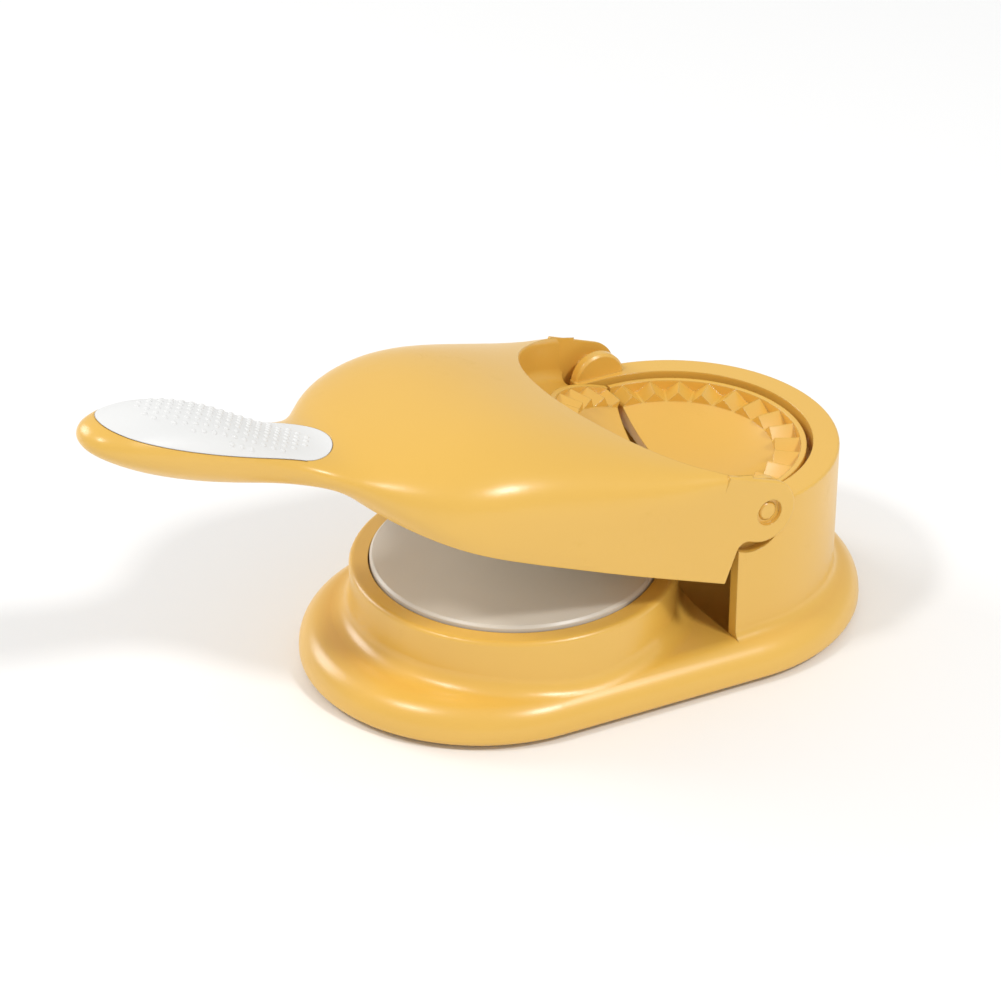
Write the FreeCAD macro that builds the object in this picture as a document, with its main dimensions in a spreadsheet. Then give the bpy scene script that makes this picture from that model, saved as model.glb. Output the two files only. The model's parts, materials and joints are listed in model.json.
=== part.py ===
import FreeCAD, Part
import math
import os
import re

import Sketcher
from FreeCAD import Placement, Rotation, Vector

# Dumpling maker: a standing base with a round dough press in front and a folding
# half-moon mould behind, worked by one hinged arm. Millimetres and degrees, +Z up,
# the handle towards -X. The origin lies on the table below the front end's centre.

doc = FreeCAD.newDocument("dumpling_maker")

# Driving sizes

SIZES = {
    # plinth
    "foot_gap": 1.5,
    "plinth_height": 14.0,
    "plinth_top_round": 9.0,
    "plinth_bottom_round": 2.5,
    "plinth_wall": 4.6,
    "plinth_skin": 3.0,
    "plinth_front_margin": 5.5,
    "plinth_rear_margin": 8.7,
    # press ring and plates
    "press_offset": 12.0,
    "press_margin": 3.5,
    "press_rise": 1.8,
    "press_dish": 0.5,
    "press_bevel": 0.8,
    "press_land": 2.0,
    "press_opening": 0.6,
    "press_screw_inset": 15.0,
    "upper_plate_inset": 1.0,
    "upper_plate_thickness": 4.0,
    "ring_gap": 0.5,
    "ring_wall": 6.0,
    "ring_top": 31.6,
    "ring_recess": 4.6,
    "ring_round": 1.6,
    "ring_foot_round": 6.0,
    # housing and hinge
    "hinge_setback": 7.0,
    "mould_clear": 1.0,
    "rim_rise": 1.3,
    "rim_width": 8.3,
    "housing_wall": 3.9,
    "housing_foot_round": 4.0,
    "housing_round": 0.8,
    "leg_reach": 9.5,
    "lug_radius": 9.2,
    "lug_chamfer": 0.8,
    "lug_gap": 3.7,
    "ear_proud": 1.9,
    "ear_skin": 1.5,
    "ear_boss": 3.0,
    "ear_side_gap": 0.6,
    "ear_radius": 10.4,
    "ear_lead": 1.2,
    "ear_round": 0.8,
    "heel_reach": 6.6,
    "heel_round": 3.5,
    "ear_overlap": 9.0,
    "ear_fall": 0.3,
    "ear_boss_radius": 6.4,
    "recess_radius": 11.4,
    "recess_lead": 4.0,
    "recess_drop": 2.0,
    "pin_radius": 3.0,
    "pin_running_gap": 0.05,
    "pin_seat": 2.6,
    "pin_recess": 0.9,
    "pin_chamfer": 0.5,
    "pin_bore_radius": 4.3,
    "pin_bore_depth": 1.4,
    # mould
    "mould_radius": 41.5,
    "mould_gap": 2.0,
    "mould_lip": 1.8,
    "mould_lip_drop": 0.2,
    "mould_depth": 14.0,
    "mould_wall": 2.0,
    "mould_fold_gap": 0.4,
    "tooth_length": 8.2,
    "tooth_floor_drop": 3.6,
    "tooth_peak_drop": 0.4,
    "flange_reach": 5.9,
    "flange_drop": 7.0,
    "flange_thickness": 2.0,
    "flange_start": 24.0,
    "flange_screw_reach": 3.7,
    # arm
    "arm_wall": 2.2,
    "skirt_lift": 0.6,
    "side_skim": 0.02,
    "skirt_gap": 1.0,
    "crown_rise": 11.0,
    "widest_drop": 12.0,
    "skirt_depth": 10.0,
    "neck_lead": 24.5,
    "handle_length": 77.9,
    "handle_width": 33.0,
    "handle_thickness": 18.6,
    "handle_drop": 17.6,
    "tip_drop": 2.6,
    "scoop_drop": 3.6,
    "scoop_gap": 1.4,
    "scoop_round": 4.0,
    "scoop_mouth_round": 3.5,
    "scoop_mouth_rise": 0.4,
    "scoop_floor": 3.4,
    "flap_opening_gap": 1.5,
    "cover_thickness": 2.0,
    "cover_gap": 0.25,
    "cover_post_radius": 3.0,
    # grip
    "grip_length": 79.7,
    "grip_end_radius": 13.2,
    "grip_rise": 2.8,
    "grip_thickness": 2.4,
    "grip_gap": 0.2,
    # feet and screws
    "foot_radius": 6.0,
    "foot_chamfer": 0.7,
    "foot_seat": 0.8,
    "foot_inset": 17.0,
    "plate_thickness": 2.0,
    "plate_gap": 0.3,
    "post_radius": 3.4,
    "screw_head_radius": 2.0,
    "screw_head_height": 1.2,
    "screw_shank_radius": 1.0,
    "screw_hole_gap": 0.15,
    "screw_bite": 2.6,
    "post_screw_bite": 6.0,
    "post_inset": 4.4,
    # one overrun for all cuts
    "overrun": 1.0,
}
# How far the arm stands open, and the slope of the wall round the moving mould half
ANGLES = {"arm_lift": 21.0, "scoop_slope": 84.0}
MOULD_TEETH = 26
PLATE_SCREWS = 3
FLANGE_SCREW_ANGLES = (-42.0, 0.0, 42.0)

sheet = doc.addObject("Spreadsheet::Sheet", "sizes")
for row, (alias, number) in enumerate({**SIZES, **ANGLES}.items(), start=1):
    sheet.set(f"A{row}", alias)
    sheet.set(f"B{row}", str(number))
    sheet.setAlias(f"B{row}", alias)
doc.recompute()

# Sizes that follow from the driving ones

DERIVED = {
    "press_radius": "mould_radius + press_margin",
    "press_screw_circle": "press_radius - press_screw_inset",
    "upper_plate_radius": "press_radius - upper_plate_inset",
    "ring_radius": "press_radius + ring_gap + ring_wall",
    "ring_floor": "ring_top - ring_recess",
    "lower_plate_thickness": "ring_recess + press_rise",
    "press_top": "ring_top + press_rise",
    "mould_bottom_drop": "mould_depth + mould_wall",
    "cover_level": "press_top + press_opening + upper_plate_thickness",
    "hinge_height": "cover_level + cover_thickness + mould_clear + mould_bottom_drop",
    "hinge_x": "press_offset + ring_radius + hinge_setback",
    "rim_radius": "mould_radius + mould_gap",
    "housing_radius": "rim_radius + rim_width",
    "housing_top": "hinge_height + rim_rise",
    "well_radius": "housing_radius - housing_wall",
    "leg_front": "hinge_x - leg_reach",
    "plinth_front_radius": "ring_radius + plinth_front_margin",
    "plinth_rear_radius": "housing_radius + plinth_rear_margin",
    "plate_top": "foot_gap + plate_thickness",
    "ear_outer": "housing_radius + ear_proud",
    "ear_inner": "ear_outer - ear_skin",
    "ear_boss_face": "ear_inner - ear_boss",
    "lug_face": "ear_boss_face - ear_side_gap",
    "lug_end": "mould_radius + lug_gap",
    "skirt_rear": "leg_reach + skirt_gap",
    "skirt_drop": "hinge_height - ring_top - skirt_lift",
    "body_length": "hinge_x - skirt_rear - press_offset + press_radius + neck_lead",
    "tooth_outer_radius": "mould_radius - mould_lip",
    "tooth_inner_radius": "tooth_outer_radius - tooth_length",
    "flange_radius": "mould_radius + flange_reach",
    "flange_screw_circle": "mould_radius + flange_screw_reach",
    "flange_bottom_drop": "flange_drop + flange_thickness",
    "flap_opening_radius": "mould_radius + flap_opening_gap",
    "scoop_radius": "housing_radius + scoop_gap",
}
derived = doc.addObject("App::VarSet", "derived")
known = {name: f"sizes.{name}" for name in (*SIZES, *ANGLES)}


def spelled(formula):
    """A formula in plain size names, with each name given its owner."""
    return re.sub(r"[a-z][a-z_]+[a-z]", lambda word: known.get(word.group(), word.group()), formula)


def bind(item, formulas):
    for prop, formula in formulas.items():
        item.setExpression(prop, spelled(formula))


for name, formula in DERIVED.items():
    derived.addProperty("App::PropertyFloat", name)
    bind(derived, {name: formula})
    known[name] = f"derived.{name}"
doc.recompute()


def size(name):
    """The present value of a driving or a derived size."""
    if name in DERIVED:
        return getattr(derived, name)
    return float(sheet.get(name))


# Building helpers


def place(x="0", y="0", z="0"):
    return {"Placement.Base.x": x, "Placement.Base.y": y, "Placement.Base.z": z}


def upright(name, radius, height, **where):
    """A cylinder standing along +Z."""
    item = doc.addObject("Part::Cylinder", name)
    bind(item, {"Radius": radius, "Height": height, **place(**where)})
    return item


def crosswise(name, radius, length, **where):
    """A cylinder lying along +Y."""
    item = doc.addObject("Part::Cylinder", name)
    item.Placement = Placement(Vector(), Rotation(Vector(1, 0, 0), -90))
    bind(item, {"Radius": radius, "Height": length, **place(**where)})
    return item


def block(name, length, width, height, **where):
    item = doc.addObject("Part::Box", name)
    bind(item, {"Length": length, "Width": width, "Height": height, **place(**where)})
    return item


def fuse(name, items):
    item = doc.addObject("Part::MultiFuse", name)
    item.Shapes = items
    return item


def cut(name, base, tool):
    item = doc.addObject("Part::Cut", name)
    item.Base = base
    item.Tool = tool
    return item


def common(name, items):
    item = doc.addObject("Part::MultiCommon", name)
    item.Shapes = items
    return item


def group(name, items):
    """Separate solids that share one node."""
    item = doc.addObject("Part::Compound", name)
    item.Links = items
    return item


def extruded(name, sketch, height):
    item = doc.addObject("Part::Extrusion", name)
    item.Base = sketch
    item.DirMode = "Custom"
    item.Dir = Vector(0, 0, 1)
    item.Solid = True
    bind(item, {"LengthFwd": height})
    return item


def plan_sketch(name, level):
    item = doc.addObject("Sketcher::SketchObject", name)
    bind(item, {"Placement.Base.z": level})
    return item


def body_sketch(body, role, name):
    item = body.newObject("Sketcher::SketchObject", name)
    plane = next(each for each in body.Origin.OriginFeatures if each.Role == role)
    item.AttachmentSupport = [(plane, "")]
    item.MapMode = "FlatFace"
    return item


def dimension(sketch, kind, formula, guess, *where):
    """A driven dimension of a sketch, bound to a formula."""
    index = sketch.addConstraint(Sketcher.Constraint(kind, *where, guess))
    sketch.setExpression(f"Constraints[{index}]", spelled(formula))


def inset_value(inset):
    return sum(size(word) for word in inset.split(" + ") if word != "0")


def plinth_outline(sketch, inset):
    """Two unequal round ends joined by tangent sides, drawn in by a wall."""
    front = size("plinth_front_radius") - inset_value(inset)
    rear = size("plinth_rear_radius") - inset_value(inset)
    reach = size("hinge_x")
    lean = math.acos((front - rear) / reach)
    axis = Vector(0, 0, 1)
    normal = Vector(math.cos(lean), math.sin(lean), 0)
    mirrored = Vector(normal.x, -normal.y, 0)
    middle = Vector(reach, 0, 0)
    sketch.addGeometry(
        [
            Part.ArcOfCircle(Part.Circle(Vector(), axis, front), lean, math.tau - lean),
            Part.ArcOfCircle(Part.Circle(middle, axis, rear), -lean, lean),
            Part.LineSegment(normal * front, middle + normal * rear),
            Part.LineSegment(middle + mirrored * rear, mirrored * front),
        ],
        False,
    )
    for ends in ((0, 1, 2, 1), (1, 2, 2, 2), (1, 1, 3, 1), (0, 2, 3, 2)):
        sketch.addConstraint(Sketcher.Constraint("Tangent", *ends))
    sketch.addConstraint(Sketcher.Constraint("Coincident", 0, 3, -1, 1))
    sketch.addConstraint(Sketcher.Constraint("PointOnObject", 1, 3, -1))
    dimension(sketch, "DistanceX", "hinge_x", reach, -1, 1, 1, 3)
    dimension(sketch, "Radius", f"plinth_front_radius - ({inset})", front, 0)
    dimension(sketch, "Radius", f"plinth_rear_radius - ({inset})", rear, 1)


def horseshoe(sketch, radius, front):
    """A half circle about the hinge line's centre with straight legs forward."""
    reach = size(radius)
    middle = Vector(size("hinge_x"), 0, 0)
    left = Vector(0, reach, 0)
    ahead = Vector(size(front), 0, 0)
    sketch.addGeometry(
        [
            Part.ArcOfCircle(Part.Circle(middle, Vector(0, 0, 1), reach), -math.pi / 2, math.pi / 2),
            Part.LineSegment(middle + left, ahead + left),
            Part.LineSegment(ahead + left, ahead - left),
            Part.LineSegment(ahead - left, middle - left),
        ],
        False,
    )
    for kind, *ends in (
        ("Tangent", 0, 2, 1, 1),
        ("Tangent", 0, 1, 3, 2),
        ("Coincident", 1, 2, 2, 1),
        ("Coincident", 2, 2, 3, 1),
        ("Horizontal", 1),
        ("Horizontal", 3),
        ("Vertical", 2),
        ("PointOnObject", 0, 3, -1),
    ):
        sketch.addConstraint(Sketcher.Constraint(kind, *ends))
    dimension(sketch, "DistanceX", "hinge_x", middle.x, -1, 1, 0, 3)
    dimension(sketch, "Radius", radius, reach, 0)
    dimension(sketch, "DistanceX", front, ahead.x, -1, 1, 2, 1)


def polygon(sketch, corners):
    """Straight sides through corners, each given as a pair of formulas and a pair of numbers."""
    points = [Vector(x, y, 0) for _, (x, y) in corners]
    count = len(points)
    for index in range(count):
        sketch.addGeometry(Part.LineSegment(points[index], points[(index + 1) % count]), False)
    for index in range(count):
        sketch.addConstraint(Sketcher.Constraint("Coincident", index, 2, (index + 1) % count, 1))
    fix_corners(sketch, corners)


def fix_corners(sketch, corners):
    for index, (formulas, numbers) in enumerate(corners):
        for kind, axis, formula, number in zip(("DistanceX", "DistanceY"), (-2, -1), formulas, numbers):
            if formula == "0":
                sketch.addConstraint(Sketcher.Constraint("PointOnObject", index, 1, axis))
            else:
                dimension(sketch, kind, formula, number, -1, 1, index, 1)


def edge_names(shape, wanted):
    """Names of the edges whose sampled points all satisfy a test."""
    names = []
    for index, edge in enumerate(shape.Edges, start=1):
        if all(wanted(point) for point in edge.discretize(5)):
            names.append(f"Edge{index}")
    return names


def rounded(body, base, name, radius, wanted):
    doc.recompute()
    item = body.newObject("PartDesign::Fillet", name)
    item.Base = (base, edge_names(base.Shape, wanted))
    bind(item, {"Radius": radius})
    return item


def near(one, other):
    return abs(one - other) < 1e-4


# Base shell: plinth, press ring and housing as one moulding

base_form = doc.addObject("PartDesign::Body", "base_form")
plinth_sketch = body_sketch(base_form, "XY_Plane", "plinth_sketch")
bind(plinth_sketch, {"AttachmentOffset.Base.z": "foot_gap"})
plinth_outline(plinth_sketch, "0")
plinth_pad = base_form.newObject("PartDesign::Pad", "plinth_pad")
plinth_pad.Profile = plinth_sketch
bind(plinth_pad, {"Length": "plinth_height - foot_gap"})
plinth_top = rounded(
    base_form,
    plinth_pad,
    "plinth_top_fillet",
    "plinth_top_round",
    lambda at: near(at.z, size("plinth_height")),
)
plinth_edge = rounded(
    base_form,
    plinth_top,
    "plinth_bottom_fillet",
    "plinth_bottom_round",
    lambda at: near(at.z, size("foot_gap")),
)


def from_press(at):
    return math.hypot(at.x - size("press_offset"), at.y)


ring_sketch = body_sketch(base_form, "XY_Plane", "ring_sketch")
bind(ring_sketch, {"AttachmentOffset.Base.z": "ring_top"})
ring_middle = Vector(size("press_offset"), 0, 0)
ring_sketch.addGeometry(Part.Circle(ring_middle, Vector(0, 0, 1), size("ring_radius")), False)
ring_sketch.addConstraint(Sketcher.Constraint("PointOnObject", 0, 3, -1))
dimension(ring_sketch, "DistanceX", "press_offset", size("press_offset"), -1, 1, 0, 3)
dimension(ring_sketch, "Radius", "ring_radius", size("ring_radius"), 0)
ring_pad = base_form.newObject("PartDesign::Pad", "ring_pad")
ring_pad.Profile = ring_sketch
ring_pad.Reversed = True
bind(ring_pad, {"Length": "ring_top - foot_gap - plinth_bottom_round"})
ring_foot = rounded(
    base_form,
    ring_pad,
    "ring_foot_fillet",
    "ring_foot_round",
    lambda at: near(from_press(at), size("ring_radius")) and at.z < size("ring_floor"),
)
ring_edge = rounded(
    base_form,
    ring_foot,
    "ring_edge_fillet",
    "ring_round",
    lambda at: near(from_press(at), size("ring_radius")) and near(at.z, size("ring_top")),
)

housing_sketch = body_sketch(base_form, "XY_Plane", "housing_sketch")
bind(housing_sketch, {"AttachmentOffset.Base.z": "housing_top"})
horseshoe(housing_sketch, "housing_radius", "leg_front")
housing_pad = base_form.newObject("PartDesign::Pad", "housing_pad")
housing_pad.Profile = housing_sketch
housing_pad.Reversed = True
bind(housing_pad, {"Length": "housing_top - foot_gap - plinth_bottom_round"})


def on_housing_side(at):
    if at.x > size("hinge_x"):
        return near(math.hypot(at.x - size("hinge_x"), at.y), size("housing_radius"))
    return near(abs(at.y), size("housing_radius"))


housing_foot = rounded(
    base_form,
    housing_pad,
    "housing_foot_fillet",
    "housing_foot_round",
    lambda at: on_housing_side(at) and at.z < size("ring_floor"),
)
housing_edge = rounded(
    base_form,
    housing_foot,
    "housing_edge_fillet",
    "housing_round",
    lambda at: on_housing_side(at) and near(at.z, size("housing_top")),
)
base_form.Tip = housing_edge

press_recess = upright(
    "press_recess", "press_radius + ring_gap", "ring_recess + overrun", x="press_offset", z="ring_floor"
)
hollow_sketch = plan_sketch("hollow_sketch", "foot_gap - overrun")
plinth_outline(hollow_sketch, "plinth_wall")
plinth_hollow = extruded("plinth_hollow", hollow_sketch, "plinth_height - plinth_skin - foot_gap + overrun")
ring_hollow = upright(
    "ring_hollow",
    "ring_radius - plinth_skin",
    "ring_floor - plinth_skin - foot_gap",
    x="press_offset",
    z="foot_gap",
)
ring_keep = upright("ring_keep", "ring_radius", "ring_top", x="press_offset")
well_sketch = plan_sketch("well_sketch", "foot_gap - overrun")
horseshoe(well_sketch, "well_radius", "leg_front")
well_prism = extruded("well_prism", well_sketch, "hinge_height - flange_drop - foot_gap + overrun")
housing_well = cut("housing_well", well_prism, ring_keep)
mouth_sketch = plan_sketch("mouth_sketch", "ring_top")
horseshoe(mouth_sketch, "rim_radius", "leg_front")
mould_mouth_prism = extruded("mould_mouth_prism", mouth_sketch, "housing_top - ring_top + overrun")
mouth_front = block(
    "mouth_front",
    "ring_radius",
    "2 * rim_radius",
    "housing_top - ring_top + overrun",
    x="leg_front - ring_radius",
    y="-rim_radius",
    z="ring_top",
)
mould_mouth = fuse("mould_mouth", [mould_mouth_prism, mouth_front])
base_hollows = fuse("base_hollows", [press_recess, plinth_hollow, ring_hollow, housing_well, mould_mouth])
hollow_base = cut("hollow_base", base_form, base_hollows)

# The housing's wall goes down to the base plate inside the plinth's hollow
wall_sketch = plan_sketch("wall_sketch", "plate_top")
horseshoe(wall_sketch, "housing_radius", "leg_front")
wall_prism = extruded("wall_prism", wall_sketch, "plinth_height - plate_top")
well_copy_sketch = plan_sketch("well_copy_sketch", "plate_top - overrun")
horseshoe(well_copy_sketch, "well_radius", "leg_front")
well_copy = extruded("well_copy", well_copy_sketch, "plinth_height + overrun")
housing_skirting = cut("housing_skirting", wall_prism, well_copy)

SIDES = {"left": -1, "right": 1}


def side_start(side, inner, outer):
    """Where a piece that spans inner..outer across starts along +Y on one side."""
    return f"-({outer})" if side == "left" else inner


def nose(name, radius, chamfer, way, start):
    """A short cone that ends a crosswise cylinder on the hinge line, narrowing along +Y (1) or -Y (-1)."""
    item = doc.addObject("Part::Cone", name)
    item.Placement = Placement(Vector(), Rotation(Vector(1, 0, 0), -90 * way))
    bind(item, {"Radius1": radius, "Radius2": f"{radius} - {chamfer}", "Height": chamfer,
                **place("hinge_x", start, "hinge_height")})
    return item


hinge_lugs = []
for side, sign in SIDES.items():
    hinge_lugs.append(
        crosswise(
            f"hinge_lug_{side}",
            "lug_radius",
            "lug_face - lug_end - lug_chamfer",
            x="hinge_x",
            y=side_start(side, "lug_end + lug_chamfer", "lug_face"),
            z="hinge_height",
        )
    )
    hinge_lugs.append(
        nose(f"lug_nose_{side}", "lug_radius", "lug_chamfer", -sign, f"{sign} * (lug_end + lug_chamfer)")
    )
lug_webs = [
    block(
        f"lug_web_{side}",
        "2 * lug_radius",
        "lug_face - lug_end",
        "flange_drop + rim_rise",
        x="hinge_x - lug_radius",
        y=side_start(side, "lug_end", "lug_face"),
        z="hinge_height - flange_drop",
    )
    for side in SIDES
]
ear_recesses = [
    crosswise(
        f"ear_recess_{side}",
        "recess_radius",
        "ear_outer - lug_face + overrun",
        x="hinge_x - recess_lead",
        y=side_start(side, "lug_face", "ear_outer + overrun"),
        z="hinge_height - recess_drop",
    )
    for side in SIDES
]
pin_sockets = [
    crosswise(
        f"pin_socket_{side}",
        "pin_radius",
        "pin_seat + overrun",
        x="hinge_x",
        y=side_start(side, "lug_face - pin_seat", "lug_face + overrun"),
        z="hinge_height",
    )
    for side in SIDES
]

# Screw posts in the plinth stand between its skin and the base plate
POST_SHARES = {"front": 0.02, "middle": 0.5, "rear": 1.0}


def post_places():
    """Pairs of posts along the plinth's sides, as shares of the way to the hinge."""
    places = []
    for share in POST_SHARES.values():
        width = "plinth_front_radius + (plinth_rear_radius - plinth_front_radius)"
        across = f"({width} * {share} - plinth_wall - post_inset)"
        for side in SIDES.values():
            places.append((f"hinge_x * {share}", f"{side} * ({across})"))
    return places


def post_hole(name, where, radius, start, length):
    return upright(name, radius, length, x=where[0], y=where[1], z=start)


posts = []
post_bores = []
for number, where in enumerate(post_places(), start=1):
    posts.append(
        post_hole(
            f"post_{number}",
            where,
            "post_radius",
            "plate_top",
            "plinth_height - plinth_skin - plate_top",
        )
    )
    post_bores.append(
        post_hole(
            f"post_bore_{number}",
            where,
            "screw_shank_radius",
            "plate_top - overrun",
            "post_screw_bite + overrun",
        )
    )


def ring_places(count, centre, circle, turn=0.0):
    """Places evenly spaced on a circle, as formula pairs."""
    places = []
    for index in range(count):
        angle = turn + 360.0 * index / count
        places.append((f"{centre} + {circle} * cos({angle} deg)", f"{circle} * sin({angle} deg)"))
    return places


plate_holes = [
    post_hole(f"plate_hole_{number}", where, "screw_shank_radius + screw_hole_gap",
              "ring_floor - plinth_skin - overrun", "plinth_skin + 2 * overrun")
    for number, where in enumerate(ring_places(PLATE_SCREWS, "press_offset", "press_screw_circle"), start=1)
]


def flange_places(centre, way):
    places = []
    for angle in FLANGE_SCREW_ANGLES:
        along = f"{centre} + {way} * flange_screw_circle * cos({angle} deg)"
        places.append((along, f"flange_screw_circle * sin({angle} deg)"))
    return places


rim_bores = [
    post_hole(f"rim_bore_{number}", where, "screw_shank_radius", "hinge_height - flange_drop - overrun",
              "screw_bite + overrun")
    for number, where in enumerate(flange_places("hinge_x", 1), start=1)
]
solid_base = fuse("solid_base", [hollow_base, housing_skirting, *lug_webs, *posts])
recess_cuts = fuse("recess_cuts", ear_recesses)
recessed_base = cut("recessed_base", solid_base, recess_cuts)
lugged_base = fuse("lugged_base", [recessed_base, *hinge_lugs])
base_bores = fuse("base_bores", pin_sockets + post_bores + plate_holes + rim_bores)
base_shell = cut("base_shell", lugged_base, base_bores)

# Base plate and feet

plate_sketch = plan_sketch("plate_sketch", "foot_gap")
plinth_outline(plate_sketch, "plinth_wall + plate_gap")
plate_blank = extruded("plate_blank", plate_sketch, "plate_thickness")


def foot_places():
    places = {}
    for end, centre, radius in (
        ("front", "0", "plinth_front_radius"),
        ("rear", "hinge_x", "plinth_rear_radius"),
    ):
        way = "-1" if end == "front" else "1"
        for side, sign in SIDES.items():
            along = f"{centre} + {way} * ({radius} - foot_inset) * cos(45 deg)"
            places[f"foot_{end}_{side}"] = (along, f"{sign} * ({radius} - foot_inset) * sin(45 deg)")
    return places


plate_cuts = []
for number, where in enumerate(post_places(), start=1):
    plate_cuts.append(
        post_hole(f"plate_clear_{number}", where, "screw_shank_radius + screw_hole_gap", "foot_gap - overrun",
                  "plate_thickness + 2 * overrun")
    )
    plate_cuts.append(
        post_hole(f"plate_sink_{number}", where, "screw_head_radius + screw_hole_gap", "foot_gap - overrun",
                  "screw_head_height + overrun")
    )
for label, where in foot_places().items():
    plate_cuts.append(
        post_hole(f"{label}_seat", where, "foot_radius", "foot_gap - overrun", "foot_seat + overrun")
    )
base_plate = cut("base_plate", plate_blank, fuse("plate_cuts", plate_cuts))

feet = []
for label, where in foot_places().items():
    height = "foot_gap + foot_seat - foot_chamfer"
    disc = post_hole(f"{label}_disc", where, "foot_radius", "foot_chamfer", height)
    tread = doc.addObject("Part::Cone", f"{label}_tread")
    bind(tread, {"Radius1": "foot_radius - foot_chamfer", "Radius2": "foot_radius", "Height": "foot_chamfer",
                 **place(*where)})
    feet.append(fuse(label, [disc, tread]))


def screw(name, where, seat, bite, way):
    """A pan-head screw: the head's flat face at the seat, the shank going up (1) or down (-1)."""
    head_start = f"{seat} - screw_head_height" if way > 0 else seat
    shank_start = seat if way > 0 else f"{seat} - ({bite})"
    head = post_hole(f"{name}_head", where, "screw_head_radius", head_start, "screw_head_height")
    shank = post_hole(f"{name}_shank", where, "screw_shank_radius", shank_start, bite)
    return fuse(name, [head, shank])


def screws(label, places, seat, bite, way):
    items = [
        screw(f"{label}_{number}", where, seat, bite, way)
        for number, where in enumerate(places, start=1)
    ]
    return group(label, items)


base_plate_screws = screws(
    "base_plate_screws", post_places(), "foot_gap + screw_head_height",
    "plate_thickness - screw_head_height + post_screw_bite", 1
)
lower_plate_screws = screws(
    "lower_plate_screws", ring_places(PLATE_SCREWS, "press_offset", "press_screw_circle"),
    "ring_floor - plinth_skin", "plinth_skin + screw_bite", 1
)
fixed_mould_screws = screws(
    "fixed_mould_screws", flange_places("hinge_x", 1), "hinge_height - flange_bottom_drop",
    "flange_thickness + screw_bite", 1
)

# Press plates: turned discs, the working face slightly dished inside a flat land


def press_disc(label, radius, thickness):
    body = doc.addObject("PartDesign::Body", label)
    sketch = body_sketch(body, "XZ_Plane", f"{label}_profile")
    wide = size(radius)
    high = size(thickness)
    bevel = size("press_bevel")
    land = wide - bevel - size("press_land")
    corners = [
        (("0", "0"), (0.0, 0.0)),
        ((radius, "0"), (wide, 0.0)),
        ((radius, f"{thickness} - press_bevel"), (wide, high - bevel)),
        ((f"{radius} - press_bevel", thickness), (wide - bevel, high)),
        ((f"{radius} - press_bevel - press_land", thickness), (land, high)),
        (("0", f"{thickness} - press_dish"), (0.0, high - size("press_dish"))),
    ]
    polygon(sketch, corners)
    disc = body.newObject("PartDesign::Revolution", f"{label}_turned")
    disc.Profile = sketch
    disc.ReferenceAxis = (sketch, ["V_Axis"])
    disc.Angle = 360
    return body


lower_disc = press_disc("lower_disc", "press_radius", "lower_plate_thickness")
bind(lower_disc, place(x="press_offset", z="ring_floor"))
lower_bores = [
    post_hole(
        f"lower_bore_{number}",
        where,
        "screw_shank_radius",
        "ring_floor - overrun",
        "screw_bite + overrun",
    )
    for number, where in enumerate(ring_places(PLATE_SCREWS, "press_offset", "press_screw_circle"), start=1)
]
lower_press_plate = cut("lower_press_plate", lower_disc, fuse("lower_bores", lower_bores))

# Hinge pins: pressed into the housing's lugs, the arm's ears turn on them

pins = []
for side, sign in SIDES.items():
    inner = "lug_face - pin_seat"
    outer = "ear_outer - pin_recess - pin_chamfer"
    stem = crosswise(
        f"pin_stem_{side}", "pin_radius", f"{outer} - ({inner})",
        x="hinge_x", y=side_start(side, inner, outer), z="hinge_height",
    )
    tip = nose(f"pin_nose_{side}", "pin_radius", "pin_chamfer", sign, f"{sign} * ({outer})")
    pins.append(fuse(f"hinge_pin_{side}", [stem, tip]))

# Mould halves: a turned dish with a toothed ring, patterned all round and then halved


def tooth_section(body, name, radius):
    """A triangle across the toothed ring, at one radius of the dish."""
    sketch = body_sketch(body, "YZ_Plane", name)
    bind(sketch, {"AttachmentOffset.Base.z": radius,
                  "AttachmentOffset.Base.y": "-tooth_floor_drop - tooth_peak_drop"})
    half = size(radius) * math.tan(math.pi / MOULD_TEETH)
    peak = size("tooth_floor_drop")
    points = [Vector(-half, 0, 0), Vector(half, 0, 0), Vector(0, peak, 0)]
    for index in range(3):
        sketch.addGeometry(Part.LineSegment(points[index], points[(index + 1) % 3]), False)
    for index in range(3):
        sketch.addConstraint(Sketcher.Constraint("Coincident", index, 2, (index + 1) % 3, 1))
    sketch.addConstraint(Sketcher.Constraint("Symmetric", 0, 1, 0, 2, -1, 1))
    sketch.addConstraint(Sketcher.Constraint("Horizontal", 0))
    sketch.addConstraint(Sketcher.Constraint("PointOnObject", 2, 1, -2))
    dimension(sketch, "DistanceX", f"2 * {radius} * tan({180 / MOULD_TEETH} deg)", 2 * half, 0, 1, 0, 2)
    dimension(sketch, "DistanceY", "tooth_floor_drop", peak, -1, 1, 2, 1)
    return sketch


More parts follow.
